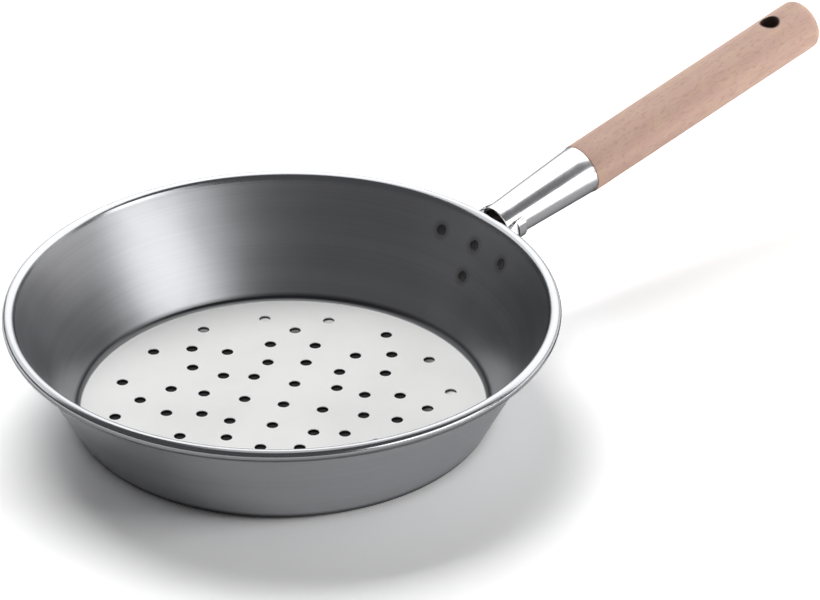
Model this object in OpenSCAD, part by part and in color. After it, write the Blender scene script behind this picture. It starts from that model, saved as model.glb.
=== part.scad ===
// Chestnut roaster: a perforated steel pan with a long wooden grip in a steel ferrule.
// Lengths are in millimetres. The base stands on z = 0, the pan's axis is Z and the handle runs along +X.

/* [Pan] */
// Diameter over the rolled rim
rim_d = 280; // [260:1:310]
// Height from the base to the top of the rim
pan_h = 60; // [52:1:72]
// Diameter of the base, measured where base and wall would meet without their bend
base_d = 210; // [200:1:230]
// Thickness of the pan's sheet steel
sheet_t = 1.2; // [0.8:0.1:1.8]
// Inside radius of the bend between base and wall
bend_r = 4; // [2:0.5:8]
// Diameter of the rolled rim
bead_d = 6.2; // [4.5:0.1:7.5]
// Arc left open where the rolled edge comes back to the wall, in degrees
curl_open = 66; // [62:1:90]

/* [Perforations] */
// Diameter of each punched hole
punch_d = 6; // [3:0.5:8]
// Radius of the four holes nearest the centre
first_ring_r = 20.5; // [16:0.5:24]
// Radius of the four holes that stand between them
second_ring_r = 31; // [29:0.5:33]
// Radius of the four groups of three holes
third_ring_r = 42; // [39:0.5:47]
// Angle between neighbouring holes of a group, in degrees
group_step = 27; // [20:1:32]
// Radius of the inner ring of sixteen holes
fourth_ring_r = 59.5; // [56:0.5:63]
// Radius of the ring of eight holes
fifth_ring_r = 73; // [70:0.5:76]
// Radius of the outer ring of sixteen holes
sixth_ring_r = 85.5; // [83:0.5:89]
// Turn of the whole pattern from the handle, in degrees
pattern_turn = 34.8; // [0:0.1:90]

/* [Spot welds] */
// Diameter of each weld nugget
weld_d = 5.5; // [4:0.5:7]
// Height of the upper three welds on the outside of the wall
weld_z = 45.5; // [42:0.5:47]
// Distance of the side welds from the middle one
weld_side = 23.4; // [18:0.2:26]
// Distance of the lowest weld below the middle one, along the wall
weld_drop = 17.4; // [14:0.2:22]
// Depth of the dish that the electrode leaves inside the pan
weld_dish = 0.4; // [0.2:0.1:0.6]

/* [Handle bracket] */
// Thickness of the bracket's sheet steel
plate_t = 1.5; // [1:0.1:2.5]
// Sheet left around each weld
weld_margin = 7; // [5:0.5:9]
// Sheet left beside the two side welds
side_margin = 10.5; // [6:0.5:13]
// Width of the open throat at the rim
throat_rim_w = 30; // [26:1:36]
// Width of the open throat at the ferrule, less than the ears' grip on it
throat_ferrule_w = 17; // [15:0.5:20]
// Place along the ferrule where the ears start to hold it
hold_start = 5; // [3:0.5:8]
// Length of ferrule that the ears hold
hold_l = 5.5; // [4:0.5:10]
// How far the ears' feet stand proud of the plate
foot_rise = 0.4; // [0.2:0.1:0.8]

/* [Ferrule] */
// Distance from the rim to the middle of the ferrule's mouth
mouth_gap = 3.2; // [2.6:0.1:12]
// Distance of the mouth's middle below the top of the rim
mouth_drop = 7.56; // [4:0.02:9]
// Rise of the handle, in degrees
handle_rise = 11.3; // [5:0.1:18]
// Length of the ferrule
ferrule_l = 59.4; // [45:0.1:80]
// Diameter of the ferrule at the pan
ferrule_pan_d = 20.5; // [19:0.1:22.5]
// Diameter of the ferrule at the grip
ferrule_grip_d = 26.6; // [24:0.1:30]
// Thickness of the ferrule's sheet steel
ferrule_t = 1.2; // [0.8:0.1:1.6]

/* [Grip] */
// Length of the grip outside the ferrule
grip_l = 165; // [120:1:200]
// Diameter of the grip at the ferrule
grip_front_d = 27.4; // [25:0.1:32]
// Diameter of the grip at its far end
grip_end_d = 28; // [24:0.1:34]
// Radius of the rounded far end
grip_end_r = 5; // [2:0.5:10]
// Radius of the eased edge at the ferrule
grip_edge_r = 0.6; // [0.2:0.1:1]
// Length of the tenon inside the ferrule
tenon_l = 34; // [20:1:44]
// Diameter of the hole that the roaster hangs by
hang_d = 10; // [5:0.5:14]
// Distance of that hole from the far end
hang_from_end = 24.5; // [15:0.5:40]

/* [Grip screw] */
// Diameter of the screw's shank
screw_d = 3; // [2:0.1:4]
// Diameter of the screw's head
screw_head_d = 6; // [5:0.1:8]
// Height of the head's dome
screw_head_h = 2; // [1.2:0.1:3]
// Length of the shank under the head
screw_l = 11; // [6:0.5:16]
// Distance of the screw from the grip end of the ferrule
screw_from_end = 11; // [6:0.5:16]
// Width of the screw's slot
slot_w = 0.9; // [0.6:0.1:1.2]
// Depth of the screw's slot
slot_depth = 0.8; // [0.4:0.1:1]

/* [Clearances] */
// Gap between pieces that are welded or pressed together
seat_gap = 0.1; // [0.05:0.05:0.3]
// Gap between the tenon and the ferrule
tenon_gap = 0.15; // [0.05:0.05:0.3]

/* [Hidden] */
$fn = 96;
past = 1; // how far a cut runs past the faces that it opens

// The wall is a straight line from the base's corner that touches the inside of the rolled rim
bead_r = bead_d / 2;
curl_r = bead_r - sheet_t;
curl_join = 15; // arc over which the rolled edge and the wall run together, in degrees
bead_x = rim_d / 2 - bead_r;
bead_z = pan_h - bead_r;
corner_x = base_d / 2;
corner_to_bead = norm([bead_x - corner_x, bead_z]);
lean = atan2(bead_x - corner_x, bead_z) - asin(curl_r / corner_to_bead);
function wall_r(z) = corner_x + z * tan(lean);
wall_across = 1 / cos(lean); // horizontal width of one unit of wall thickness
bend_outer_r = bend_r + sheet_t;
flat_r = corner_x - bend_outer_r * tan((90 - lean) / 2);
wall_out = [cos(lean), -sin(lean)];
wall_up = [sin(lean), cos(lean)];
bend_centre = [flat_r, bend_outer_r];
wall_top = [bead_x, bead_z] - curl_r * wall_out;

// Rings of perforations: number of holes, radius, turn within the pattern
rings = [
    [1, 0, 0],
    [4, first_ring_r, 0],
    [4, second_ring_r, 45],
    [4, third_ring_r, -group_step],
    [4, third_ring_r, 0],
    [4, third_ring_r, group_step],
    [16, fourth_ring_r, 0],
    [8, fifth_ring_r, 360 / 32],
    [16, sixth_ring_r, 0]
];

// Welds: turn about the pan's axis and height on the wall
weld_turn = asin(weld_side / wall_r(weld_z));
low_weld_z = weld_z - weld_drop * cos(lean);
welds = [[-weld_turn, weld_z], [0, weld_z], [weld_turn, weld_z], [0, low_weld_z]];
weld_l = sheet_t + seat_gap + plate_t;
dish_r = (pow(weld_d / 2, 2) + pow(weld_dish, 2)) / (2 * weld_dish);

// The bracket's plate ends just under the rolled rim
plate_half_w = weld_side + side_margin;
lobe_x = plate_half_w - weld_margin; // middle of each rounded lower corner
plate_top_z = bead_z - bead_r - plate_t;
plate_top_v = (plate_top_z - weld_z) / cos(lean);
plate_edge = norm([lobe_x, weld_drop]);
slant_share = 0.97; // puts the slanted edges just inside the rounded corners, so that they cross them
plate_slant = slant_share * weld_margin / plate_edge * [weld_drop, -lobe_x];

mouth_x = rim_d / 2 + mouth_gap;
mouth_z = pan_h - mouth_drop;
function ferrule_r(s) = (ferrule_pan_d + (ferrule_grip_d - ferrule_pan_d) * s / ferrule_l) / 2;
function ferrule_bore_r(s) = ferrule_r(s) - ferrule_t;

// Places its children on the handle's axis, s from the ferrule's mouth: +Z to the grip's end, +X down
module on_handle(s) {
    translate([mouth_x, 0, mouth_z])
        rotate([0, 90 - handle_rise, 0])
            translate([0, 0, s])
                children();
}

// Places its children on the outside of the wall: +Z out of the wall, +X down the wall
module on_wall(turn, z) {
    rotate(turn)
        translate([wall_r(z), 0, z])
            rotate([0, 90 + lean, 0])
                children();
}

// Cone of the wall's outside, grown by a gap
module wall_cone(gap) {
    grow = gap * wall_across;
    cylinder(r1 = wall_r(0) + grow, r2 = wall_r(pan_h) + grow, h = pan_h);
}

// Filled half outline of the bowl, at a depth below its outside, with the wall carried on past its top
module bowl_fill(depth, carry) {
    wall_end = wall_top - depth * wall_out + carry * wall_up;
    top_inside = wall_end - 2 * sheet_t * wall_out;
    polygon([
        [0, depth],
        [flat_r, depth],
        bend_centre + (bend_outer_r - depth) * wall_out,
        wall_end,
        top_inside,
        [0, top_inside[1]]
    ]);
    translate(bend_centre) circle(bend_outer_r - depth);
}

module rolled_rim() {
    translate([bead_x, bead_z])
        difference() {
            circle(bead_r);
            circle(curl_r);
            rotate(180 - lean)
                polygon([
                    [0, 0],
                    2 * bead_r * [cos(curl_join), sin(curl_join)],
                    2 * bead_r * [cos(curl_open), sin(curl_open)]
                ]);
        }
}

module pan_profile() {
    difference() {
        bowl_fill(0, 0);
        bowl_fill(sheet_t, past);
    }
    rolled_rim();
}

module perforations() {
    for (ring = rings, i = [0 : ring[0] - 1])
        rotate(pattern_turn + ring[2] + 360 / ring[0] * i)
            translate([ring[1], 0, -past])
                cylinder(d = punch_d, h = sheet_t + 2 * past);
}

module weld_holes() {
    for (weld = welds)
        on_wall(weld[0], weld[1])
            translate([0, 0, -sheet_t - past])
                cylinder(d = weld_d + 2 * seat_gap, h = weld_l + 2 * past);
}

module pan_body() {
    color("#8e9194")
        difference() {
            rotate_extrude($fn = 180) pan_profile();
            perforations();
            weld_holes();
        }
}

module spot_welds() {
    color("#4c4d50")
        for (weld = welds)
            on_wall(weld[0], weld[1])
                difference() {
                    translate([0, 0, -sheet_t]) cylinder(d = weld_d, h = weld_l, $fn = 48);
                    translate([0, 0, weld_dish - sheet_t - dish_r]) sphere(dish_r);
                }
}

// Flat outline of the plate: a bar that ends under the rim, drawn in to a tongue round the lowest weld
module plate_outline() {
    polygon([
        [plate_half_w, plate_top_v],
        [plate_half_w, 0],
        [lobe_x, 0] + plate_slant,
        [0, -weld_drop] + plate_slant,
        [0, -weld_drop] + [-plate_slant[0], plate_slant[1]],
        [-lobe_x, 0] + [-plate_slant[0], plate_slant[1]],
        [-plate_half_w, 0],
        [-plate_half_w, plate_top_v]
    ]);
    for (centre = [[-lobe_x, 0], [lobe_x, 0], [0, -weld_drop]])
        translate(centre) circle(weld_margin);
}

module wall_plate() {
    intersection() {
        difference() {
            wall_cone(seat_gap + plate_t);
            wall_cone(seat_gap);
        }
        on_wall(0, weld_z)
            rotate(90)
                translate([0, 0, -plate_half_w])
                    linear_extrude(2 * plate_half_w) plate_outline();
    }
}

// Solid that spreads from the hold on the ferrule to feet at the plate's top corners, drawn in by an inset
module ear_block(inset, hold_r, foot_h) {
    side_turn = asin((plate_half_w - plate_t - inset) / wall_r(weld_z));
    post_l = (plate_top_z - weld_z) * wall_across - 2 * inset;
    hull() {
        on_handle(hold_start)
            cylinder(r = hold_r, h = hold_l + inset, $fn = 48);
        for (share = [-1 : 0.5 : 1])
            on_wall(share * side_turn, weld_z)
                translate([-post_l - inset, -plate_t / 2, -sheet_t])
                    cube([post_l, plate_t, sheet_t + foot_h]);
    }
}

// Open throat between the two ears, where the ferrule's mouth shows
module throat() {
    translate([0, 0, -past])
        linear_extrude(2 * pan_h)
            polygon([
                [0, -throat_rim_w / 2],
                [rim_d / 2, -throat_rim_w / 2],
                [mouth_x, -throat_ferrule_w / 2],
                [mouth_x + 2 * ferrule_l, -throat_ferrule_w / 2],
                [mouth_x + 2 * ferrule_l, throat_ferrule_w / 2],
                [mouth_x, throat_ferrule_w / 2],
                [rim_d / 2, throat_rim_w / 2],
                [0, throat_rim_w / 2]
            ]);
}

module handle_bracket() {
    color("#c6c8cb")
        difference() {
            union() {
                wall_plate();
                difference() {
                    ear_block(0, ferrule_r(hold_start + hold_l) + seat_gap + plate_t, seat_gap + plate_t + foot_rise);
                    ear_block(plate_t, ferrule_bore_r(hold_start), seat_gap + plate_t / 2);
                    throat();
                    wall_cone(seat_gap);
                }
            }
            weld_holes();
            on_handle(0)
                cylinder(r1 = ferrule_r(0) + seat_gap, r2 = ferrule_r(ferrule_l) + seat_gap, h = ferrule_l);
            rotate_extrude($fn = 180)
                union() {
                    translate([bead_x, bead_z]) circle(bead_r + seat_gap);
                    translate([0, bead_z - 0.8 * bead_r]) square([bead_x, 2 * bead_r]);
                }
        }
}

module screw_place() {
    on_handle(ferrule_l - screw_from_end)
        rotate([0, 90, 0])
            children();
}

screw_seat = ferrule_r(ferrule_l - screw_from_end) - ferrule_t / 3;

module ferrule() {
    color("#d3d5d8")
        difference() {
            on_handle(0)
                difference() {
                    cylinder(r1 = ferrule_r(0), r2 = ferrule_r(ferrule_l), h = ferrule_l);
                    translate([0, 0, -past])
                        cylinder(
                            r1 = ferrule_bore_r(-past),
                            r2 = ferrule_bore_r(ferrule_l + past),
                            h = ferrule_l + 2 * past
                        );
                }
            screw_place() cylinder(d = screw_d + 2 * seat_gap, h = ferrule_grip_d);
            screw_place()
                translate([0, 0, screw_seat])
                    cylinder(d = screw_head_d + 2 * seat_gap, h = ferrule_grip_d);
        }
}

// Half outline of the grip's outside, from its eased edge at the ferrule to its rounded end
module grip_outline() {
    difference() {
        polygon([[0, 0], [grip_front_d / 2, 0], [grip_end_d / 2, grip_l], [0, grip_l]]);
        translate([grip_end_d / 2 - grip_end_r, grip_l - grip_end_r])
            difference() {
                square(2 * grip_end_r);
                circle(grip_end_r);
            }
        translate([grip_front_d / 2 - grip_edge_r, -grip_edge_r])
            difference() {
                square(2 * grip_edge_r);
                translate([0, 2 * grip_edge_r]) circle(grip_edge_r);
            }
    }
}

module grip() {
    color("#d0ae94")
        difference() {
            on_handle(ferrule_l)
                union() {
                    rotate_extrude() grip_outline();
                    translate([0, 0, -tenon_l])
                        cylinder(
                            r1 = ferrule_bore_r(ferrule_l - tenon_l) - tenon_gap,
                            r2 = ferrule_bore_r(ferrule_l) - tenon_gap,
                            h = tenon_l
                        );
                }
            on_handle(ferrule_l + grip_l - hang_from_end)
                rotate([0, 90, 0])
                    translate([0, 0, -grip_end_d])
                        cylinder(d = hang_d, h = 2 * grip_end_d);
            screw_place()
                translate([0, 0, screw_seat - screw_l - seat_gap])
                    cylinder(d = screw_d + 2 * seat_gap, h = screw_l + ferrule_grip_d);
        }
}

module grip_screw() {
    head_r = (pow(screw_head_d / 2, 2) + pow(screw_head_h, 2)) / (2 * screw_head_h);
    color("#b9bbbd")
        screw_place()
            translate([0, 0, screw_seat])
                difference() {
                    union() {
                        translate([0, 0, -screw_l]) cylinder(d = screw_d, h = screw_l + screw_head_h / 2);
                        intersection() {
                            translate([0, 0, screw_head_h - head_r]) sphere(head_r);
                            cylinder(d = screw_head_d, h = screw_head_h);
                        }
                    }
                    translate([-slot_w / 2, -screw_head_d, screw_head_h - slot_depth])
                        cube([slot_w, 2 * screw_head_d, screw_head_h]);
                }
}

pan_body();
spot_welds();
handle_bracket();
ferrule();
grip();
grip_screw();
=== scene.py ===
import math

import bpy
from mathutils import Matrix, Vector


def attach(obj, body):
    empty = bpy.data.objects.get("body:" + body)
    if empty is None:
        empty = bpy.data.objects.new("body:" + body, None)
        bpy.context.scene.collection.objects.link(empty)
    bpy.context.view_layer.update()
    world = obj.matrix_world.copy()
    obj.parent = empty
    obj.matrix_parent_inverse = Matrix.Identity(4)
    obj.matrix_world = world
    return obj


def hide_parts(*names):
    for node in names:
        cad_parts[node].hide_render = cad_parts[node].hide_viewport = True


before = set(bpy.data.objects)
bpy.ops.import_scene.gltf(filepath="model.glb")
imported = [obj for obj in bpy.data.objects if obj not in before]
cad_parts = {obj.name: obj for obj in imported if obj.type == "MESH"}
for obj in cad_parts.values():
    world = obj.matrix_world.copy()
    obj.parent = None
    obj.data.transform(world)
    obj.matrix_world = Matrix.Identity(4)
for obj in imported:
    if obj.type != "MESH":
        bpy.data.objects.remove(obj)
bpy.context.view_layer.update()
mm = 0.001  # the dictionaries hold millimetres and degrees, the scene holds metres
mergeGap = 0.002  # points nearer than this are merged
print("frame loaded:", sorted(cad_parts))


# Helpers for selecting, naming and shaping


def clearSelection():
    if bpy.context.mode != "OBJECT":
        bpy.ops.object.mode_set(mode="OBJECT")
    bpy.ops.object.select_all(action="DESELECT")


def pick(piece):
    clearSelection()
    piece.select_set(True)
    bpy.context.view_layer.objects.active = piece


def nameActive(name):
    piece = bpy.context.active_object
    piece.name = name
    piece.data.name = name
    return piece


def applyPlace(piece, place=None):
    pick(piece)
    if place is not None:
        piece.matrix_world = place @ piece.matrix_world
    bpy.ops.object.transform_apply(location=True, rotation=True, scale=True)


def modify(piece, kind, **values):
    pick(piece)
    modifier = piece.modifiers.new(kind.title(), kind)
    for name, value in values.items():
        setattr(modifier, name, value)
    bpy.ops.object.modifier_apply(modifier=modifier.name)


def cut(piece, cutter, operation="DIFFERENCE", solver="EXACT"):
    modify(piece, "BOOLEAN", operation=operation, object=cutter, solver=solver)
    bpy.data.objects.remove(cutter)


def thicken(piece, thickness, side=-1):
    modify(piece, "SOLIDIFY", thickness=thickness * mm, offset=side, use_even_offset=True)


def roundEdges(piece, sizes):
    modify(
        piece,
        "BEVEL",
        width=sizes["edge"] * mm,
        segments=sizes["edgeSegments"],
        limit_method="ANGLE",
        angle_limit=math.radians(sizes["edgeAngle"]),
    )


def smooth(piece, sizes):
    pick(piece)
    bpy.ops.object.shade_smooth_by_angle(angle=math.radians(sizes["smoothAngle"]))


def joinAll(pieces, name):
    clearSelection()
    for piece in pieces:
        piece.select_set(True)
    bpy.context.view_layer.objects.active = pieces[0]
    bpy.ops.object.join()
    return nameActive(name)


def copyMesh(piece):
    twin = piece.copy()
    twin.data = piece.data.copy()
    bpy.context.collection.objects.link(twin)
    return twin


def cleanMesh(piece):
    pick(piece)
    bpy.ops.object.mode_set(mode="EDIT")
    bpy.ops.mesh.select_all(action="SELECT")
    bpy.ops.mesh.remove_doubles(threshold=mergeGap * mm)
    bpy.ops.mesh.normals_make_consistent(inside=False)
    bpy.ops.object.mode_set(mode="OBJECT")


# Turns an open sheet's faces to the given side, or without one away from the Z axis
def faceOut(piece, side=None):
    total = 0
    for face in piece.data.polygons:
        out = Vector((face.center.x, face.center.y, 0)) if side is None else Vector(side)
        total += face.area * face.normal.dot(out)
    if total < 0:
        piece.data.flip_normals()


def addRod(name, diameter, start, end, steps, place=None):
    clearSelection()
    bpy.ops.mesh.primitive_cylinder_add(
        vertices=steps,
        radius=diameter / 2 * mm,
        depth=(end - start) * mm,
        location=(0, 0, (start + end) / 2 * mm),
    )
    rod = nameActive(name)
    applyPlace(rod, place)
    return rod


def addBox(name, size, middle):
    clearSelection()
    bpy.ops.mesh.primitive_cube_add(size=1, location=Vector(middle) * mm)
    box = nameActive(name)
    box.scale = Vector(size) * mm
    applyPlace(box)
    return box


# Rings of a turned form, each a radius and a height: along an arc, and along a straight line
def arcRings(centre, radius, start, end, steps):
    angles = [math.radians(start + (end - start) * i / steps) for i in range(steps + 1)]
    return [(centre[0] + radius * math.cos(a), centre[1] + radius * math.sin(a)) for a in angles]


def lineRings(first, last, steps):
    return [tuple(a + (b - a) * i / steps for a, b in zip(first, last)) for i in range(steps + 1)]


# A turned form: a circle drawn out from ring to ring
def turnRings(name, rings, steps, closeStart=False, closeEnd=False):
    clearSelection()
    radius, height = rings[0]
    fill = "NGON" if closeStart else "NOTHING"
    bpy.ops.mesh.primitive_circle_add(vertices=steps, radius=radius * mm, fill_type=fill)
    piece = nameActive(name)
    piece.location.z = height * mm
    applyPlace(piece)
    bpy.ops.object.mode_set(mode="EDIT")
    bpy.ops.mesh.select_mode(type="EDGE")
    bpy.ops.mesh.select_all(action="SELECT")
    for nextRadius, nextHeight in rings[1:]:
        rise = (0, 0, (nextHeight - height) * mm)
        bpy.ops.mesh.extrude_edges_move(TRANSFORM_OT_translate={"value": rise})
        share = nextRadius / radius
        bpy.ops.transform.resize(value=(share, share, 1), center_override=(0, 0, 0))
        radius, height = nextRadius, nextHeight
    if closeEnd:
        bpy.ops.mesh.edge_face_add()
    bpy.ops.object.mode_set(mode="OBJECT")
    return piece


def finishPiece(piece, node, material):
    piece.data.materials.clear()
    piece.data.materials.append(material)
    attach(piece, "root")
    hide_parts(node)
    print("piece", piece.name, "faces", len(piece.data.polygons))


# The pan: base, bend, wall and rolled rim in one sheet

pan = {
    "rimDiameter": 280,
    "height": 60,
    "baseDiameter": 210,  # where base and wall would meet without their bend
    "sheet": 1.2,
    "bendRadius": 4,  # inside of the bend
    "beadDiameter": 6.2,
    "curlOpen": 66,  # arc left open under the rolled rim
    "floorBand": 3,  # width of the base's outermost ring of faces
    "bendSteps": 9,
    "wallSteps": 8,
    "beadSteps": 28,
    "steps": 192,
    "punchDiameter": 6,
    "punchReach": 3.6,
    "punchSteps": 36,
    "patternTurn": 34.8,
    "groupStep": 27,
    "edge": 0.28,  # rounding of the punched edges
    "edgeSegments": 3,
    "edgeAngle": 50,
    "smoothAngle": 32,
    "largeFaces": 90,  # how far large faces lead the shading of small ones
}
beadRadius = pan["beadDiameter"] / 2
curlRadius = beadRadius - pan["sheet"]
beadCentre = (pan["rimDiameter"] / 2 - beadRadius, pan["height"] - beadRadius)
cornerRadius = pan["baseDiameter"] / 2
cornerToBead = math.hypot(beadCentre[0] - cornerRadius, beadCentre[1])
lean = math.atan2(beadCentre[0] - cornerRadius, beadCentre[1]) - math.asin(curlRadius / cornerToBead)
leanDegrees = math.degrees(lean)
bendOuter = pan["bendRadius"] + pan["sheet"]
flatRadius = cornerRadius - bendOuter * math.tan((math.pi / 2 - lean) / 2)
bendCentre = (flatRadius, bendOuter)

# Rings of perforations: number of holes, radius, turn within the pattern
punchRings = [
    (1, 0, 0),
    (4, 20.5, 0),
    (4, 31, 45),
    (4, 42, -pan["groupStep"]),
    (4, 42, 0),
    (4, 42, pan["groupStep"]),
    (16, 59.5, 0),
    (8, 73, 11.25),
    (16, 85.5, 0),
]


def wallRadius(height):
    return cornerRadius + height * math.tan(lean)


# A place on the outside of the wall: +Z out of the wall, +X down the wall
def onWall(turn, height):
    spot = Matrix.Translation((wallRadius(height) * mm, 0, height * mm))
    return Matrix.Rotation(math.radians(turn), 4, "Z") @ spot @ Matrix.Rotation(math.pi / 2 + lean, 4, "Y")


def punchCutter():
    punch = addRod("punch", pan["punchDiameter"], -pan["punchReach"], pan["punchReach"], pan["punchSteps"])
    punches = []
    for count, radius, turn in punchRings:
        for i in range(count):
            angle = math.radians(pan["patternTurn"] + turn + 360 / count * i)
            twin = copyMesh(punch)
            twin.location = (radius * mm * math.cos(angle), radius * mm * math.sin(angle), 0)
            punches.append(twin)
    bpy.data.objects.remove(punch)
    return joinAll(punches, "punches")


def makePan():
    floorTop = pan["sheet"]
    floor = [(flatRadius - pan["floorBand"], floorTop), (flatRadius, floorTop)]
    bend = arcRings(bendCentre, pan["bendRadius"], -90, -leanDegrees, pan["bendSteps"])
    curlEnd = pan["curlOpen"] - 180 - leanDegrees
    bead = arcRings(beadCentre, beadRadius, 180 - leanDegrees, curlEnd, pan["beadSteps"])
    wall = lineRings(bend[-1], bead[0], pan["wallSteps"])
    rings = floor + bend[1:] + wall[1:-1] + bead
    piece = turnRings("panShell", rings, pan["steps"], closeStart=True)
    cleanMesh(piece)
    faceOut(piece, (0, 0, 1))
    thicken(piece, pan["sheet"])
    cut(piece, punchCutter())
    cut(piece, weldCutter())
    roundEdges(piece, pan)
    smooth(piece, pan)
    modify(piece, "WEIGHTED_NORMAL", keep_sharp=True, weight=pan["largeFaces"])
    return piece


# The spot welds: nuggets through wall and bracket, dished inside the pan

weld = {
    "diameter": 5.5,
    "height": 45.5,  # of the upper three
    "side": 23.4,
    "drop": 17.4,  # of the lowest one, down the wall
    "dish": 0.4,
    "dishRim": 0.3,  # from the dish's edge to the nugget's side
    "dishSteps": 8,
    "lip": 0.12,  # height of the ring of metal round the dish
    "lipWidth": 0.16,
    "lipShoulder": (0.04, 0.048),  # in from the side, and height
    "lipFoot": 0.1,
    "outerRound": 0.2,
    "gap": 0.1,  # between welded sheets, and round a nugget
    "drillReach": 6,
    "steps": 40,
    "smoothAngle": 40,
}
weldTurn = math.degrees(math.asin(weld["side"] / wallRadius(weld["height"])))
lowWeld = weld["height"] - weld["drop"] * math.cos(lean)
weldPlaces = [onWall(turn, weld["height"]) for turn in (-weldTurn, 0, weldTurn)]
weldPlaces.append(onWall(0, lowWeld))


def weldCutter():
    width, reach = weld["diameter"] + 2 * weld["gap"], weld["drillReach"]
    drills = [addRod("drill", width, -reach, reach, weld["steps"], place) for place in weldPlaces]
    return joinAll(drills, "drills")


def makeWelds(plateThickness):
    edge = weld["diameter"] / 2
    inside = -pan["sheet"]
    outside = weld["gap"] + plateThickness
    shoulderIn, shoulderHeight = weld["lipShoulder"]
    rings = []
    for i in range(1, weld["dishSteps"] + 1):
        share = i / weld["dishSteps"]
        rings.append(((edge - weld["dishRim"]) * share, inside + weld["dish"] * (1 - share**2)))
    rings += [
        (edge - weld["lipWidth"], inside - weld["lip"]),
        (edge - shoulderIn, inside - shoulderHeight),
        (edge, inside + weld["lipFoot"]),
        (edge, outside - weld["outerRound"]),
        (edge - weld["outerRound"], outside),
    ]
    marks = []
    for place in weldPlaces:
        mark = turnRings("weldMark", rings, weld["steps"], closeStart=True, closeEnd=True)
        applyPlace(mark, place)
        cleanMesh(mark)
        marks.append(mark)
    piece = joinAll(marks, "weldMarks")
    smooth(piece, weld)
    return piece


# The ferrule: a conical tube, and the drill for the screw under it

ferrule = {
    "mouth": (143.2, 0, 52.44),  # middle of the open end
    "rise": 11.3,  # slant of the whole handle
    "length": 59.4,
    "panDiameter": 20.5,
    "gripDiameter": 26.6,
    "sheet": 1.2,
    "screwFromEnd": 11,
    "screwSink": 0.4,  # depth of the head's seat
    "rings": 10,
    "steps": 96,
    "edge": 0.3,
    "edgeSegments": 3,
    "edgeAngle": 50,
    "smoothAngle": 32,
}
handleTilt = Matrix.Rotation(math.radians(90 - ferrule["rise"]), 4, "Y")
toHandle = Matrix.Translation(Vector(ferrule["mouth"]) * mm) @ handleTilt  # +Z to the grip's end, +X down


def ferruleRadius(along):
    growth = ferrule["gripDiameter"] - ferrule["panDiameter"]
    return (ferrule["panDiameter"] + growth * along / ferrule["length"]) / 2


# A place on the handle's axis, with +Z straight down through its lower side
def acrossHandle(along):
    return toHandle @ Matrix.Translation((0, 0, along * mm)) @ Matrix.Rotation(math.pi / 2, 4, "Y")


screw = {
    "shank": 3,
    "head": 6,
    "dome": 2,
    "length": 11,
    "point": (0.6, 1),  # radius of the tip, and length of the taper
    "headEase": 0.2,
    "slotWidth": 0.9,
    "slotDepth": 0.8,
    "capTop": 84,  # angle up to which the dome is turned
    "capSteps": 12,
    "play": 0.2,  # in the holes' diameters
    "endPlay": 0.1,
    "drillReach": 20,
    "steps": 40,
    "smoothAngle": 32,
}
screwAlong = ferrule["length"] - ferrule["screwFromEnd"]
screwSeat = ferruleRadius(screwAlong) - ferrule["screwSink"]
toScrew = acrossHandle(screwAlong)


def screwDrill(diameter, start):
    return addRod("drill", diameter + screw["play"], start, screw["drillReach"], screw["steps"], toScrew)


def makeFerrule():
    length = ferrule["length"]
    rings = lineRings((ferruleRadius(0), 0), (ferruleRadius(length), length), ferrule["rings"])
    piece = turnRings("ferruleTube", rings, ferrule["steps"])
    cleanMesh(piece)
    faceOut(piece)
    thicken(piece, ferrule["sheet"])
    applyPlace(piece, toHandle)
    cut(piece, screwDrill(screw["shank"], 0))
    cut(piece, screwDrill(screw["head"], screwSeat))
    roundEdges(piece, ferrule)
    smooth(piece, ferrule)
    return piece


# The handle bracket: a plate on the wall and two ears that hold the ferrule

bracket = {
    "plate": 1.5,
    "weldMargin": 7,
    "sideMargin": 10.5,
    "throatRim": 30.4,  # open width between the ears at the rim
    "earUp": 24,  # how far each ear wraps the ferrule above its side, in degrees
    "earDown": 45,  # and below it
    "earFaces": (20, 9),  # across and along an ear
    "holdRows": 2,  # rows of faces that lie on the ferrule
    "holdStart": 5,
    "holdEnd": 10.5,
    "channelPower": 0.25,  # how square the ears' channel is at the wall
    "coneMargin": (12, 4),  # of the plate's cone below the low weld and above the plate
    "coneRings": 6,
    "coneSteps": 384,
    "lobeSteps": 48,
    "cutReach": 10,
    "beadSteps": (288, 40),
    "grain": 0.3,  # mesh size, from which the sheet's edges are rounded
    "roundSteps": 6,
    "roundShare": 0.5,
    "keepFaces": 0.4,
    "smoothAngle": 40,
}
plateHalf = weld["side"] + bracket["sideMargin"]
plateTop = beadCentre[1] - beadRadius - bracket["plate"]


# The plate's outline: two lobes beside the upper welds and one round the low weld, under a straight top
def shieldCutter():
    rise = (plateTop - weld["height"]) / math.cos(lean)
    lobe, reach = plateHalf - bracket["weldMargin"], bracket["cutReach"]
    parts = []
    for down, side in [(0, -lobe), (0, lobe), (weld["drop"], 0)]:
        place = Matrix.Translation((down * mm, side * mm, 0))
        parts.append(addRod("lobe", 2 * bracket["weldMargin"], -reach, reach, bracket["lobeSteps"], place))
    parts.append(addBox("bar", (rise, 2 * plateHalf, 2 * reach), (-rise / 2, 0, 0)))
    shield = joinAll(parts, "shield")
    bpy.ops.object.mode_set(mode="EDIT")
    bpy.ops.mesh.select_all(action="SELECT")
    bpy.ops.mesh.convex_hull()
    bpy.ops.object.mode_set(mode="OBJECT")
    applyPlace(shield, onWall(0, weld["height"]))
    return shield


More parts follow.
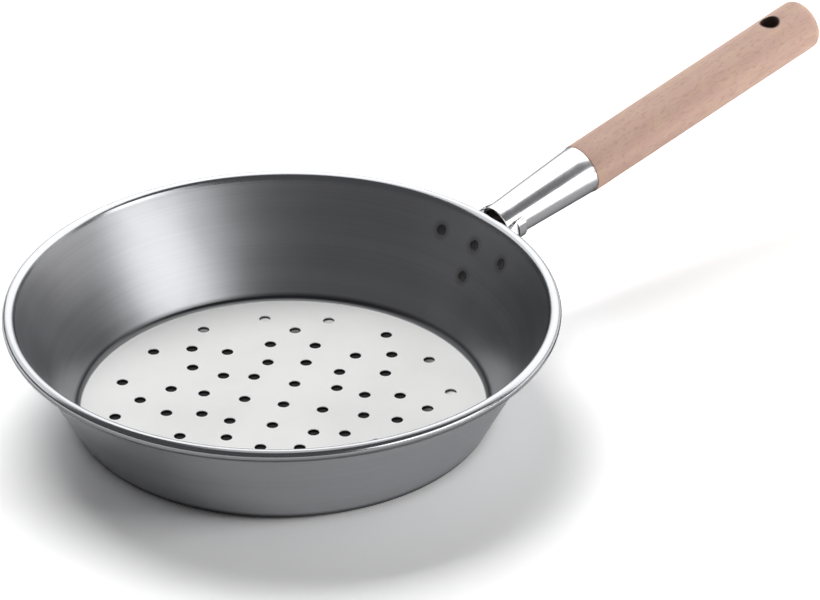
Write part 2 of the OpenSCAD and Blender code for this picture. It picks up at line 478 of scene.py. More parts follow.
# One ear: a strip of sheet that leaves the ferrule's side and opens into a channel at the wall
def makeEar():
    across, along = bracket["earFaces"]
    holdRows, power = bracket["holdRows"], bracket["channelPower"]
    clearSelection()
    bpy.ops.mesh.primitive_grid_add(x_subdivisions=across, y_subdivisions=along, size=2)
    ear = nameActive("ear")
    hold = ferruleRadius(bracket["holdEnd"]) + weld["gap"] + bracket["plate"]
    low, high = weld["height"], plateTop
    inner = bracket["throatRim"] / 2
    for vertex in ear.data.vertices:
        u, v = vertex.co.x, (vertex.co.y + 1) / 2
        row = v * along
        turn = math.radians(bracket["earUp" if u > 0 else "earDown"] * u)
        slide = (bracket["holdStart"] - bracket["holdEnd"]) * min(row / holdRows, 1)
        side = Vector((-hold * math.sin(turn), hold * math.cos(turn), bracket["holdEnd"] + slide))
        atFerrule = toHandle @ (side * mm)
        squareTurn = math.pi / 2 * u
        width = (plateHalf - inner) * math.cos(squareTurn) ** power if abs(u) < 1 else 0
        swing = math.copysign(abs(math.sin(squareTurn)) ** power, u) if u else 0
        height = (low + high) / 2 + (high - low) / 2 * swing
        reach = (wallRadius(height) + (weld["gap"] + bracket["plate"] / 2) / math.cos(lean)) * mm
        y = (inner + width) * mm
        atWall = Vector((math.sqrt(reach**2 - y**2), y, height * mm))
        vertex.co = atFerrule.lerp(atWall, max(0, (row - holdRows) / (along - holdRows)))
    cleanMesh(ear)
    faceOut(ear, (0, 1, 0))
    thicken(ear, bracket["plate"])
    return ear


def beadCutter():
    aroundSteps, acrossSteps = bracket["beadSteps"]
    clearSelection()
    bpy.ops.mesh.primitive_torus_add(
        major_segments=aroundSteps,
        minor_segments=acrossSteps,
        major_radius=beadCentre[0] * mm,
        minor_radius=(beadRadius + weld["gap"]) * mm,
        location=(0, 0, beadCentre[1] * mm),
    )
    return nameActive("beadSpace")


def makeBracket():
    below, above = bracket["coneMargin"]
    gap = weld["gap"] / math.cos(lean)
    low, high = lowWeld - below, plateTop + above
    cone = lineRings((wallRadius(low) + gap, low), (wallRadius(high) + gap, high), bracket["coneRings"])
    piece = turnRings("bracketSheet", cone, bracket["coneSteps"])
    cleanMesh(piece)
    faceOut(piece)
    thicken(piece, bracket["plate"], side=1)
    cut(piece, shieldCutter(), "INTERSECT", "MANIFOLD")
    cut(piece, weldCutter(), "DIFFERENCE", "MANIFOLD")
    ear = makeEar()
    twin = copyMesh(ear)
    applyPlace(twin, Matrix.Scale(-1, 4, (0, 1, 0)))
    twin.data.flip_normals()
    cut(piece, ear, "UNION", "MANIFOLD")
    cut(piece, twin, "UNION", "MANIFOLD")
    cut(piece, beadCutter(), "DIFFERENCE", "MANIFOLD")
    modify(piece, "REMESH", mode="VOXEL", voxel_size=bracket["grain"] * mm)
    modify(piece, "SMOOTH", factor=bracket["roundShare"], iterations=bracket["roundSteps"])
    modify(piece, "DECIMATE", ratio=bracket["keepFaces"])
    smooth(piece, bracket)
    return piece


# The grip: turned beech with a tenon and a hanging hole

grip = {
    "length": 165,
    "frontDiameter": 27.4,
    "endDiameter": 28,
    "endRound": 5,
    "endBand": 1.5,  # ring of faces inside the rounded end, and the flat left in the middle
    "frontRound": 0.6,
    "frontBand": 0.3,
    "roundSteps": (5, 12),  # of the front's and the end's rounding
    "bodySteps": 20,
    "tenon": 34,
    "tenonGap": 0.15,
    "tenonEase": 0.6,
    "holeDiameter": 10,
    "holeFromEnd": 24.5,
    "holeReach": 30,
    "holeSteps": 72,
    "steps": 128,
    "edge": 0.5,  # rounding of the hole's mouths
    "edgeSegments": 3,
    "edgeAngle": 48,
    "smoothAngle": 32,
}


def makeGrip():
    start = ferrule["length"]
    end = start + grip["length"]
    front, back = grip["frontDiameter"] / 2, grip["endDiameter"] / 2
    frontRound, endRound = grip["frontRound"], grip["endRound"]
    frontSteps, endSteps = grip["roundSteps"]
    play = ferrule["sheet"] + grip["tenonGap"]
    tip, ease = start - grip["tenon"], grip["tenonEase"]
    rings = [
        (ferruleRadius(tip) - play - ease, tip),
        (ferruleRadius(tip + ease) - play, tip + ease),
        (ferruleRadius(start) - play, start),
        (front - frontRound - grip["frontBand"], start),
    ]
    rings += arcRings((front - frontRound, start + frontRound), frontRound, -90, 0, frontSteps)
    rings += lineRings((front, start + frontRound), (back, end - endRound), grip["bodySteps"])[1:-1]
    rings += arcRings((back - endRound, end - endRound), endRound, 0, 90, endSteps)
    rings += [(back - endRound - grip["endBand"], end), (grip["endBand"], end)]
    piece = turnRings("gripTurning", rings, grip["steps"], closeStart=True, closeEnd=True)
    cleanMesh(piece)
    applyPlace(piece, toHandle)
    reach, holePlace = grip["holeReach"], acrossHandle(end - grip["holeFromEnd"])
    cut(piece, addRod("hole", grip["holeDiameter"], -reach, reach, grip["holeSteps"], holePlace))
    cut(piece, screwDrill(screw["shank"], screwSeat - screw["length"] - screw["endPlay"]))
    roundEdges(piece, grip)
    smooth(piece, grip)
    return piece


# The grip screw: a slotted dome head on a plain shank


def makeScrew():
    shank, half, dome = screw["shank"] / 2, screw["head"] / 2, screw["dome"]
    ball = (half**2 + dome**2) / (2 * dome)  # radius of the sphere that the dome is part of
    tipRadius, taper = screw["point"]
    rings = [
        (tipRadius, -screw["length"]),
        (shank, taper - screw["length"]),
        (shank, 0),
        (half - screw["headEase"], 0),
    ]
    capStart = math.degrees(math.asin((ball - dome) / ball))
    rings += arcRings((0, dome - ball), ball, capStart, screw["capTop"], screw["capSteps"])
    piece = turnRings("gripScrew", rings, screw["steps"], closeStart=True, closeEnd=True)
    cleanMesh(piece)
    slotSize = (screw["slotWidth"], 2 * screw["head"], 2 * screw["slotDepth"])
    cut(piece, addBox("slot", slotSize, (0, 0, dome)))
    applyPlace(piece, toScrew @ Matrix.Translation((0, 0, screwSeat * mm)))
    smooth(piece, screw)
    return piece


panShell = makePan()
weldMarks = makeWelds(bracket["plate"])
bracketSheet = makeBracket()
ferruleTube = makeFerrule()
gripTurning = makeGrip()
gripScrew = makeScrew()
print("pieces modelled")


# Materials: node helpers, shared groups, then one function for each finish

black = (0, 0, 0)
white = (1, 1, 1)


def newTree(name):
    material = bpy.data.materials.new(name)
    material.use_nodes = True
    tree = material.node_tree
    return material, tree, tree.nodes["Principled BSDF"].inputs


def setInput(tree, socket, value):
    if isinstance(value, bpy.types.NodeSocket):
        tree.links.new(value, socket)
    else:
        socket.default_value = value


def calc(tree, operation, *values):
    node = tree.nodes.new("ShaderNodeMath")
    node.operation = operation
    for socket, value in zip(node.inputs, values):
        setInput(tree, socket, value)
    return node.outputs[0]


# The sum of some values, each taken by its share
def addShares(tree, *pairs):
    total = None
    for value, share in pairs:
        part = calc(tree, "MULTIPLY", value, share)
        total = part if total is None else calc(tree, "ADD", total, part)
    return total


def vectorCalc(tree, operation, *values):
    node = tree.nodes.new("ShaderNodeVectorMath")
    node.operation = operation
    for socket, value in zip(node.inputs, values):
        setInput(tree, socket, value)
    return node.outputs["Value" if operation in ("LENGTH", "DISTANCE", "DOT_PRODUCT") else "Vector"]


def separate(tree, vector):
    node = tree.nodes.new("ShaderNodeSeparateXYZ")
    tree.links.new(vector, node.inputs[0])
    return node.outputs


def combine(tree, **axes):
    node = tree.nodes.new("ShaderNodeCombineXYZ")
    for axis, value in axes.items():
        setInput(tree, node.inputs[axis], value)
    return node.outputs[0]


def blendColour(tree, share, first, second):
    node = tree.nodes.new("ShaderNodeMix")
    node.data_type = "RGBA"
    setInput(tree, node.inputs[0], share)
    for socket, value in zip(node.inputs[6:8], (first, second)):
        setInput(tree, socket, value if isinstance(value, bpy.types.NodeSocket) else (*value, 1))
    return node.outputs[2]


def fade(tree, value, start, end, low=0, high=1):
    node = tree.nodes.new("ShaderNodeMapRange")
    node.interpolation_type = "SMOOTHSTEP"
    for socket, item in zip(node.inputs, (value, start, end, low, high)):
        setInput(tree, socket, item)
    return node.outputs[0]


# The same between two lengths in millimetres
def fadeLength(tree, length, start, end, low=0, high=1):
    return fade(tree, length, start * mm, end * mm, low, high)


def noise(tree, vector, scale, detail=2, roughness=0.5, distortion=0):
    node = tree.nodes.new("ShaderNodeTexNoise")
    values = {
        "Vector": vector,
        "Scale": scale,
        "Detail": detail,
        "Roughness": roughness,
        "Distortion": distortion,
    }
    for name, value in values.items():
        setInput(tree, node.inputs[name], value)
    return node.outputs[0]


def stretch(tree, vector, x, y, z):
    return vectorCalc(tree, "MULTIPLY", vector, (x, y, z))


# Relief: how much of it shows, and its depth in millimetres
def bumpNormal(tree, height, relief):
    strength, depth = relief
    node = tree.nodes.new("ShaderNodeBump")
    node.inputs["Strength"].default_value = strength
    node.inputs["Distance"].default_value = depth * mm
    tree.links.new(height, node.inputs["Height"])
    return node.outputs[0]


def objectPoint(tree):
    return tree.nodes.new("ShaderNodeTexCoord").outputs["Object"]


# Object coordinates turned so that Z runs along the handle from the ferrule's mouth
def handlePoint(tree):
    node = tree.nodes.new("ShaderNodeMapping")
    back = toHandle.inverted()
    node.inputs["Location"].default_value = back.translation
    node.inputs["Rotation"].default_value = back.to_euler()
    tree.links.new(objectPoint(tree), node.inputs["Vector"])
    return node.outputs[0]


def newGroup(name, values, outputs):
    tree = bpy.data.node_groups.new(name, "ShaderNodeTree")
    tree.interface.new_socket(name="Vector", in_out="INPUT", socket_type="NodeSocketVector")
    for label, value in values.items():
        socket = tree.interface.new_socket(name=label, in_out="INPUT", socket_type="NodeSocketFloat")
        socket.default_value = value
    for label in outputs:
        tree.interface.new_socket(name=label, in_out="OUTPUT", socket_type="NodeSocketFloat")
    return tree, tree.nodes.new("NodeGroupInput").outputs, tree.nodes.new("NodeGroupOutput").inputs


def useGroup(tree, group, **values):
    node = tree.nodes.new("ShaderNodeGroup")
    node.node_tree = group
    for name, value in values.items():
        setInput(tree, node.inputs[name], value)
    return node.outputs


spinLook = {
    "inputs": {"Pitch": 1500, "Wander": 2},  # lines in a metre, and how far they drift on the way round
    "outputs": {"Fine": 1, "Broad": 0.22},  # shares of the pitch
}


# Lines that a spinning or polishing wheel leaves round the Z axis
def spinMarksGroup():
    tree, given, out = newGroup("spinMarks", spinLook["inputs"], spinLook["outputs"])
    flat = stretch(tree, given["Vector"], 1, 1, 0)
    radius = vectorCalc(tree, "LENGTH", flat)
    along = calc(tree, "ADD", separate(tree, given["Vector"])["Z"], radius)
    around = tree.nodes.new("ShaderNodeVectorMath")
    around.operation = "SCALE"
    tree.links.new(vectorCalc(tree, "NORMALIZE", flat), around.inputs[0])
    tree.links.new(given["Wander"], around.inputs["Scale"])
    for label, share in spinLook["outputs"].items():
        pitch = calc(tree, "MULTIPLY", given["Pitch"], share)
        lift = combine(tree, Z=calc(tree, "MULTIPLY", along, pitch))
        spot = vectorCalc(tree, "ADD", around.outputs[0], lift)
        tree.links.new(noise(tree, spot, scale=1, detail=1), out[label])
    return tree


handlingLook = {
    "inputs": {"Scale": 30},
    "cloud": (4, 0.55, 0.6),  # detail, roughness and distortion of the smudges, and of the scratches
    "hairline": (1, 0.5, 0.4),
    "smudgeFade": (0.38, 0.68),
    "scratchFade": (0.73, 0.78),
    "scratchRuns": ((60, 9, 4), (5, 70, 8), (7, 6, 60)),  # stretch of each set of scratches
}


# Smudges from hands and cloths, and sparse hairline scratches
def handlingMarksGroup():
    tree, given, out = newGroup("handlingMarks", handlingLook["inputs"], ["Smudge", "Scratch"])
    cloud = noise(tree, given["Vector"], given["Scale"], *handlingLook["cloud"])
    tree.links.new(fade(tree, cloud, *handlingLook["smudgeFade"]), out["Smudge"])
    lines = None
    for run in handlingLook["scratchRuns"]:
        thin = noise(tree, stretch(tree, given["Vector"], *run), given["Scale"], *handlingLook["hairline"])
        line = fade(tree, thin, *handlingLook["scratchFade"])
        lines = line if lines is None else calc(tree, "MAXIMUM", lines, line)
    tree.links.new(lines, out["Scratch"])
    return tree


spinMarks = spinMarksGroup()
handlingMarks = handlingMarksGroup()

spunFinish = {
    "wall": (0.44, 0.445, 0.46),
    "wallDark": (0.4, 0.405, 0.42),
    "wallRoughness": 0.32,
    "roughnessDip": 0.05,  # by which it starts lower, before streaks and smudges raise it
    "streakRoughness": 0.08,
    "smudgeRoughness": 0.04,
    "anisotropy": 0.55,
    "edgeTint": (0.7, 0.7, 0.71, 1),  # of what is mirrored at grazing angles
    "pitch": 760,
    "wander": 0.5,
    "streakShares": (0.45, 0.55),  # of the fine and the broad lines
    "streakFade": (0.3, 0.7),
    "relief": (0.15, 0.02),
    "handling": 18,  # scale of smudges and scratches
    "floor": (0.91, 0.91, 0.9),
    "floorDull": (0.86, 0.86, 0.85),
    "floorRoughness": 0.7,
    "floorMetal": 0.06,
    "floorEdge": (102.2, 103.2),  # radii between which the pale area ends
    "floorSide": (0.48, 0.96),  # heights in the sheet between which it starts
    "floorGrain": (900, 3, 0.6),  # scale, detail and roughness of its noise
    "dullShares": (0.6, 0.4),  # of smudges and grain
    "rimRoughness": 0.19,  # of the rolled rim, polished by use
    "rimFade": (0.1, 0.6),  # distances from it between which the polish ends
    "rimShade": 0.55,  # painted shade on the rolled rim's outer, lower side
    "rimShadeUp": 1.4,  # how far above its middle the painted shade ends
    "rimShadeOut": 1,  # how far outside its middle it is full
    "weldTint": (0.2, 0.18, 0.17),
    "tintFade": (2.6, 6.5, 0.55, 0),  # distances from a weld, and the tint's share at each
    "footShadeFade": (2.4, 5.5, 0.8, 0),  # heights over the bend, and how dark the painted shade on the wall is at each
}


def spunSteel():
    material, tree, shader = newTree("spunSteel")
    point = objectPoint(tree)
    height = separate(tree, point)["Z"]
    radius = vectorCalc(tree, "LENGTH", stretch(tree, point, 1, 1, 0))
    marks = useGroup(tree, spinMarks, Vector=point, Pitch=spunFinish["pitch"], Wander=spunFinish["wander"])
    hands = useGroup(tree, handlingMarks, Vector=point, Scale=spunFinish["handling"])
    # The base's upper side, up to where the bend starts
    inBase = fadeLength(tree, radius, *spunFinish["floorEdge"], 1, 0)
    base = calc(tree, "MULTIPLY", inBase, fadeLength(tree, height, *spunFinish["floorSide"]))
    # The rolled rim, and painted shade on its outer, lower side
    beadX, beadZ = beadCentre
    outOfBead = calc(tree, "SUBTRACT", radius, beadX * mm)
    overBead = calc(tree, "SUBTRACT", height, beadZ * mm)
    beadGap = vectorCalc(tree, "LENGTH", combine(tree, X=outOfBead, Z=overBead))
    rimStart, rimEnd = spunFinish["rimFade"]
    bead = fadeLength(tree, beadGap, beadRadius + rimStart, beadRadius + rimEnd, 1, 0)
    lowSide = fadeLength(tree, overBead, 0, spunFinish["rimShadeUp"], spunFinish["rimShade"], 0)
    outSide = fadeLength(tree, outOfBead, 0, spunFinish["rimShadeOut"])
    # Painted shade on the rolled rim's outer, lower side
    underRimShade = calc(tree, "MULTIPLY", bead, calc(tree, "MULTIPLY", lowSide, outSide))
    # Heat tint round each weld
    nearest = None
    for place in weldPlaces:
        gap = vectorCalc(tree, "DISTANCE", point, tuple(place @ Vector((0, 0, -pan["sheet"] * mm))))
        nearest = gap if nearest is None else calc(tree, "MINIMUM", nearest, gap)
    tint = fadeLength(tree, nearest, *spunFinish["tintFade"])
    fineShare, broadShare = spunFinish["streakShares"]
    streaks = addShares(tree, (marks["Fine"], fineShare), (marks["Broad"], broadShare))
    streakMask = fade(tree, streaks, *spunFinish["streakFade"])
    wall = blendColour(tree, streakMask, spunFinish["wallDark"], spunFinish["wall"])
    wall = blendColour(tree, tint, wall, spunFinish["weldTint"])
    # Painted shade in the corner where the wall meets the base
    footShade = fadeLength(tree, height, *spunFinish["footShadeFade"])
    wall = blendColour(tree, calc(tree, "MAXIMUM", footShade, underRimShade), wall, black)
    smudgeShare, grainShare = spunFinish["dullShares"]
    grain = noise(tree, point, *spunFinish["floorGrain"])
    dull = addShares(tree, (hands["Smudge"], smudgeShare), (grain, grainShare))
    floor = blendColour(tree, dull, spunFinish["floor"], spunFinish["floorDull"])
    setInput(tree, shader["Base Color"], blendColour(tree, base, wall, floor))
    setInput(tree, shader["Metallic"], fade(tree, base, 0, 1, 1, spunFinish["floorMetal"]))
    wallRoughness = spunFinish["wallRoughness"]
    change = addShares(
        tree,
        (streaks, spunFinish["streakRoughness"]),
        (hands["Smudge"], spunFinish["smudgeRoughness"]),
        (base, spunFinish["floorRoughness"] - wallRoughness),
        (bead, spunFinish["rimRoughness"] - wallRoughness),
    )
    rough = calc(tree, "ADD", wallRoughness - spunFinish["roughnessDip"], change)
    setInput(tree, shader["Roughness"], rough)
    shader["Specular Tint"].default_value = spunFinish["edgeTint"]
    shader["Anisotropic"].default_value = spunFinish["anisotropy"]
    tangent = tree.nodes.new("ShaderNodeTangent")
    tangent.direction_type = "RADIAL"
    tangent.axis = "Z"
    tree.links.new(tangent.outputs[0], shader["Tangent"])
    lines = calc(tree, "MULTIPLY", marks["Broad"], calc(tree, "SUBTRACT", 1, base))
    setInput(tree, shader["Normal"], bumpNormal(tree, lines, spunFinish["relief"]))
    return material


burntFinish = {
    "dark": (0.016, 0.015, 0.016),
    "light": (0.04, 0.038, 0.038),
    "metal": 0.2,
    "cloud": (900, 4, 0.6),  # scale, detail and roughness of its noise
    "colourFade": (0.35, 0.65),
    "roughnessFade": (0.3, 0.7, 0.7, 0.85),  # from and to in the noise, and the roughness at each
    "relief": (0.4, 0.05),
}


def burntSteel():
    material, tree, shader = newTree("burntSteel")
    cloud = noise(tree, objectPoint(tree), *burntFinish["cloud"])
    share = fade(tree, cloud, *burntFinish["colourFade"])
    setInput(tree, shader["Base Color"], blendColour(tree, share, burntFinish["dark"], burntFinish["light"]))
    shader["Metallic"].default_value = burntFinish["metal"]
    setInput(tree, shader["Roughness"], fade(tree, cloud, *burntFinish["roughnessFade"]))
    setInput(tree, shader["Normal"], bumpNormal(tree, cloud, burntFinish["relief"]))
    return material


plateFinish = {
    "bright": (0.92, 0.92, 0.925),
    "worn": (0.8, 0.8, 0.8),
    "smudge": 0.35,  # shares of the worn tone in smudges and in scratches
    "scratch": 0.4,
    "edgeTint": (0.12, 0.12, 0.125, 1),  # of what is mirrored at grazing angles
    "tubeRoughness": 0.23,
    "sheetRoughness": 0.13,
    "roughnessDip": 0.04,  # by which these start lower, before smudges and lines raise them
    "smudgeRoughness": 0.05,
    "lineRoughness": 0.03,
    "pitch": 1300,
    "wander": 3,
    "handling": 40,
    "relief": (0.15, 0.008),
}


def brightPlate(name, spun, roughness):
    material, tree, shader = newTree(name)
    point = handlePoint(tree) if spun else objectPoint(tree)
    marks = useGroup(tree, spinMarks, Vector=point, Pitch=plateFinish["pitch"], Wander=plateFinish["wander"])
    hands = useGroup(tree, handlingMarks, Vector=point, Scale=plateFinish["handling"])
    wear = addShares(
        tree,
        (hands["Smudge"], plateFinish["smudge"]),
        (hands["Scratch"], plateFinish["scratch"]),
    )
    setInput(tree, shader["Base Color"], blendColour(tree, wear, plateFinish["bright"], plateFinish["worn"]))
    shader["Metallic"].default_value = 1
    shader["Specular Tint"].default_value = plateFinish["edgeTint"]
    change = addShares(
        tree,
        (hands["Smudge"], plateFinish["smudgeRoughness"]),
        (marks["Fine"], plateFinish["lineRoughness"]),
    )
    setInput(tree, shader["Roughness"], calc(tree, "ADD", roughness - plateFinish["roughnessDip"], change))
    setInput(tree, shader["Normal"], bumpNormal(tree, marks["Fine"], plateFinish["relief"]))
    return material


beechFinish = {
    "pale": (0.556, 0.374, 0.307),
    "warm": (0.48, 0.309, 0.251),
    "straw": (0.577, 0.405, 0.299),
    "fleck": (0.38, 0.228, 0.18),
    "pore": (0.3, 0.19, 0.14),
    "smudge": (0.42, 0.27, 0.21),
    "smudgeShare": 0.12,
    "handling": 26,
    "tenonShade": 0.75,  # how dark the painted shade on the tenon inside the ferrule is
    "holeShade": 0.8,  # how dark the painted shade on the hanging hole's wall is
    "holeShadeFade": (0.3, 0.9),  # distances from that wall between which it ends
    "roughness": 0.52,
    "fibreRoughness": 0.14,
    "shine": 0.35,
    "fibreHeight": 0.5,
    "relief": (0.3, 0.06),
}
# Layers of the wood's figure, each over the one before: its tone, its noise (stretch along the grain,
# scale, detail, roughness and distortion) and the fade that makes a mask of it
woodFigure = {
    "drift": ("warm", (0.06, 55, 3, 0.55, 0.3), (0.32, 0.68)),
    "mottle": ("straw", (0.4, 170, 3, 0.6), (0.42, 0.66, 0, 0.6)),
    "fibre": ("warm", (0.03, 900, 3, 0.65), (0.45, 0.75, 0, 0.35)),
    "rays": ("fleck", (0.36, 760, 2, 0.5), (0.52, 0.7, 0, 0.42)),
    "pores": ("pore", (0.12, 2600, 1, 0.5), (0.66, 0.76, 0, 0.45)),
}


def beech():
    material, tree, shader = newTree("beech")
    point = handlePoint(tree)
    colour = beechFinish["pale"]
    clouds = {}
    masks = {}
    for label, (tone, (run, *texture), ends) in woodFigure.items():
        clouds[label] = noise(tree, stretch(tree, point, 1, 1, run), *texture)
        masks[label] = fade(tree, clouds[label], *ends)
        colour = blendColour(tree, masks[label], colour, beechFinish[tone])
    hands = useGroup(tree, handlingMarks, Vector=point, Scale=beechFinish["handling"])
    smudge = calc(tree, "MULTIPLY", hands["Smudge"], beechFinish["smudgeShare"])
    colour = blendColour(tree, smudge, colour, beechFinish["smudge"])
    # Painted shade on the tenon inside the ferrule
    parts = separate(tree, point)
    seat = ferrule["length"]
    tenonShade = fadeLength(tree, parts["Z"], seat - grip["tenon"] / 2, seat, beechFinish["tenonShade"], 0)
    # Painted shade on the hanging hole's wall
    holeAlong = seat + grip["length"] - grip["holeFromEnd"]
    pastHole = calc(tree, "SUBTRACT", parts["Z"], holeAlong * mm)
    fromHole = vectorCalc(tree, "LENGTH", combine(tree, Y=parts["Y"], Z=pastHole))
    holeShadeStart, holeShadeEnd = (grip["holeDiameter"] / 2 + reach for reach in beechFinish["holeShadeFade"])
    holeShade = fadeLength(tree, fromHole, holeShadeStart, holeShadeEnd, beechFinish["holeShade"], 0)
    colour = blendColour(tree, calc(tree, "MAXIMUM", tenonShade, holeShade), colour, black)
    setInput(tree, shader["Base Color"], colour)
    fibreRough = calc(tree, "MULTIPLY", clouds["fibre"], beechFinish["fibreRoughness"])
    setInput(tree, shader["Roughness"], calc(tree, "ADD", beechFinish["roughness"], fibreRough))
    shader["Specular IOR Level"].default_value = beechFinish["shine"]
    fibreHeight = calc(tree, "MULTIPLY", clouds["fibre"], beechFinish["fibreHeight"])
    surface = calc(tree, "SUBTRACT", fibreHeight, masks["pores"])
    setInput(tree, shader["Normal"], bumpNormal(tree, surface, beechFinish["relief"]))
    return material


sheetPlate = brightPlate("brightBracket", False, plateFinish["sheetRoughness"])
tubePlate = brightPlate("brightFerrule", True, plateFinish["tubeRoughness"])
screwPlate = brightPlate("brightScrew", True, plateFinish["sheetRoughness"])
finishPiece(panShell, "pan_body", spunSteel())
finishPiece(weldMarks, "spot_welds", burntSteel())
finishPiece(bracketSheet, "handle_bracket", sheetPlate)
finishPiece(ferruleTube, "ferrule", tubePlate)
finishPiece(gripTurning, "grip", beech())
finishPiece(gripScrew, "grip_screw", screwPlate)
print("finishes on:", len(bpy.data.materials), "materials")


# Camera, floor and light, in the camera's own directions: x to the right, y away from it, z up

studio = {
    "azimuth": -38.7,
    "elevation": 31.74,
    "distance": 2.533,  # in metres
    "yaw": 1.47,
    "pitch": -1.19,
    "roll": -1.07,
    "focalPixels": 5000,
    "imageWidth": 820,
    "sensor": 36,
}
toStudio = Matrix.Rotation(math.radians(studio["azimuth"]), 4, "Z")


def makeCamera():
    clearSelection()
    bpy.ops.object.camera_add()
    camera = nameActive("camera")
    camera.data.sensor_width = studio["sensor"]
    camera.data.lens = studio["focalPixels"] * studio["sensor"] / studio["imageWidth"]
    look = toStudio @ Matrix.Rotation(math.radians(90 - studio["elevation"]), 4, "X")
    aim = (
        Matrix.Rotation(math.radians(-studio["yaw"]), 4, "Y")
        @ Matrix.Rotation(math.radians(-studio["pitch"]), 4, "X")
        @ Matrix.Rotation(math.radians(studio["roll"]), 4, "Z")
    )
    camera.matrix_world = Matrix.Translation(look @ Vector((0, 0, studio["distance"]))) @ look @ aim
    bpy.context.scene.camera = camera
    print("camera placed")


# 1 for what the camera, metal and glass see, 0 for what only lights the object
def seenRays(tree):
    path = tree.nodes.new("ShaderNodeLightPath").outputs
    seen = calc(tree, "MAXIMUM", path["Is Camera Ray"], path["Is Glossy Ray"])
    return calc(tree, "MAXIMUM", seen, path["Is Transmission Ray"])


stageFloor = {
    "radius": 6,  # in metres
    "steps": 96,
    "drop": 0.1,  # below the pan's base
    "colour": (0.6, 0.6, 0.605),
    "seen": (1.38, 1.38, 1.38),  # what the camera and the metal see of it
    "whiteFrom": (0.45, 0.85),  # distances in metres between which the seen floor turns plain white
    "underShade": (0.028, 0.028, 0.03),  # under the base, where hardly any light gets in
    "shadeBack": (66, 100),  # where that shade fades out at the back
    "shadeSide": (68, 98),  # at the right
    "shadeFront": (95, 99),  # and all round
    "roughness": 0.9,
    "shine": 0.1,
}


def makeFloor():
    clearSelection()
    bpy.ops.mesh.primitive_circle_add(
        vertices=stageFloor["steps"],
        radius=stageFloor["radius"],
        fill_type="NGON",
        location=(0, 0, -stageFloor["drop"] * mm),
    )
    floor = nameActive("floor")
    material, tree, shader = newTree("paleFloor")
    point = objectPoint(tree)
    away = vectorCalc(tree, "DOT_PRODUCT", point, tuple(toStudio @ Vector((0, 1, 0))))
    across = vectorCalc(tree, "DOT_PRODUCT", point, tuple(toStudio @ Vector((1, 0, 0))))
    fromMiddle = vectorCalc(tree, "LENGTH", point)
    under = fadeLength(tree, away, *stageFloor["shadeBack"], 1, 0)
    under = calc(tree, "MULTIPLY", under, fadeLength(tree, across, *stageFloor["shadeSide"], 1, 0))
    under = calc(tree, "MULTIPLY", under, fadeLength(tree, fromMiddle, *stageFloor["shadeFront"], 1, 0))
    seen = seenRays(tree)
    colour = blendColour(tree, seen, stageFloor["colour"], stageFloor["seen"])
    setInput(tree, shader["Base Color"], blendColour(tree, under, colour, stageFloor["underShade"]))
    far = fade(tree, fromMiddle, *stageFloor["whiteFrom"])
    shader["Emission Color"].default_value = (*white, 1)
    setInput(tree, shader["Emission Strength"], calc(tree, "MULTIPLY", seen, far))
    shader["Roughness"].default_value = stageFloor["roughness"]
    shader["Specular IOR Level"].default_value = stageFloor["shine"]
    floor.data.materials.append(material)
    print("floor laid")


# Cloth and card that show only where the metal mirrors them
def showMirrored(screen, colour):
    material, _, shader = newTree(screen.name + "Cloth")
    shader["Base Color"].default_value = (*black, 1)
    shader["Specular IOR Level"].default_value = 0
    shader["Emission Color"].default_value = (*colour, 1)
    shader["Emission Strength"].default_value = 1
    screen.data.materials.append(material)
    screen.visible_camera = False
    screen.visible_diffuse = False
    screen.visible_shadow = False
    print("set up", screen.name)


tent = {
    "radius": 1.5,  # in metres
    "steps": (180, 60),
    "colour": (0.125, 0.125, 0.132),
    "open": (8, 121),  # azimuths between which it is open, from the right round the back
    "top": 76,  # elevation above which it is open all round
}


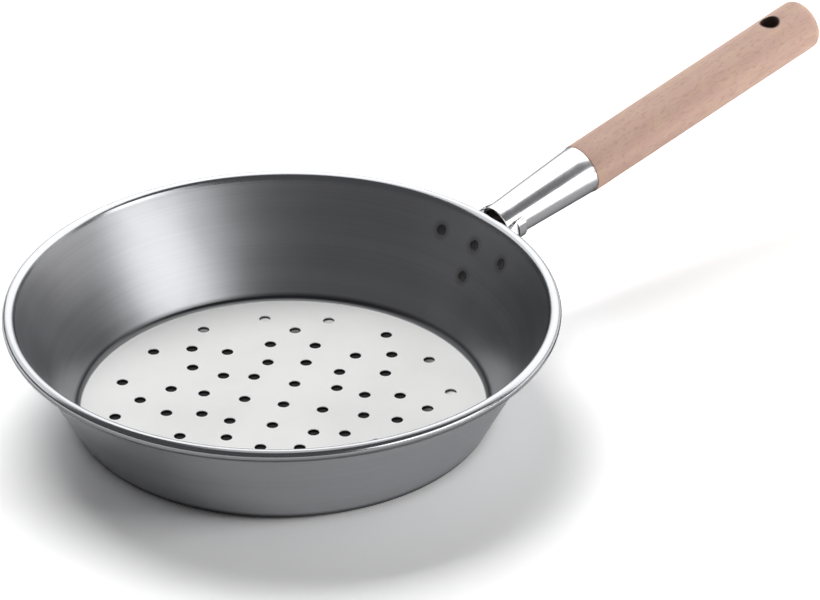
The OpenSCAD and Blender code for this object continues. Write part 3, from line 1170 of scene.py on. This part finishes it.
# A dark tent on the camera's side, which the camera looks through
def makeTent():
    aroundSteps, upSteps = tent["steps"]
    clearSelection()
    bpy.ops.mesh.primitive_uv_sphere_add(segments=aroundSteps, ring_count=upSteps, radius=tent["radius"])
    cloth = nameActive("darkTent")
    openStart, openEnd = tent["open"]
    topHeight = tent["radius"] * math.sin(math.radians(tent["top"]))
    bpy.ops.object.mode_set(mode="EDIT")
    bpy.ops.mesh.select_mode(type="FACE")
    bpy.ops.mesh.select_all(action="DESELECT")
    bpy.ops.object.mode_set(mode="OBJECT")
    for face in cloth.data.polygons:
        azimuth = math.degrees(math.atan2(face.center.y, face.center.x))
        face.select = not 0 < face.center.z < topHeight or openStart < azimuth < openEnd
    bpy.ops.object.mode_set(mode="EDIT")
    bpy.ops.mesh.delete(type="FACE")
    bpy.ops.object.mode_set(mode="OBJECT")
    applyPlace(cloth, toStudio)
    showMirrored(cloth, tent["colour"])


card = {
    "place": (0.2, 0.11, 0.001),  # under the handle, in metres
    "size": 0.18,
    "colour": (0.36, 0.36, 0.37),
}


# A grey card for the ferrule's lower side
def makeCard():
    clearSelection()
    bpy.ops.mesh.primitive_plane_add(size=card["size"], location=card["place"])
    sheet = nameActive("greyCard")
    applyPlace(sheet, toStudio)
    showMirrored(sheet, card["colour"])


# Soft boxes: where each hangs and what it faces, in metres, its width and height, and its power
softBoxes = {
    "keyBox": ((-0.31, 0.76, 1.26), (0, 0, 0), (1.1, 0.9), 19.5),
    "fillBox": ((1.47, -0.18, 0.32), (0, 0, 0), (0.8, 0.3), 18.5),
    "sideBox": ((1.03, -0.69, 0.38), (0, 0, 0), (1.1, 0.46), 4.9),
    "overheadBox": ((0, 0.88, 0.41), (0, 0.88, 0), (2.2, 1.56), 15),
}
mirroredBoxes = ("sideBox", "overheadBox")  # these show in the metal, the others light the rest
worldFill = 0.15  # strength of the white world as a light; what is seen of it has a strength of 1


def hangBox(name):
    place, aim, size, power = softBoxes[name]
    clearSelection()
    bpy.ops.object.light_add(type="AREA")
    lamp = nameActive(name)
    lamp.data.shape = "RECTANGLE"
    lamp.data.size, lamp.data.size_y = size
    lamp.data.energy = power
    lamp.visible_camera = False
    lamp.visible_diffuse = name not in mirroredBoxes
    lamp.visible_glossy = name in mirroredBoxes
    turn = (Vector(place) - Vector(aim)).to_track_quat("Z", "Y").to_matrix().to_4x4()
    lamp.matrix_world = toStudio @ Matrix.Translation(place) @ turn


def makeLight():
    world = bpy.data.worlds.new("studioWorld")
    bpy.context.scene.world = world
    world.use_nodes = True
    tree = world.node_tree
    background = tree.nodes["Background"].inputs
    background["Color"].default_value = (*white, 1)
    setInput(tree, background["Strength"], fade(tree, seenRays(tree), 0, 1, worldFill, 1))
    for name in softBoxes:
        hangBox(name)
    print("lights hung:", len(softBoxes))


makeCamera()
makeFloor()
makeTent()
makeCard()
makeLight()
bpy.context.scene.view_settings.view_transform = "Standard"
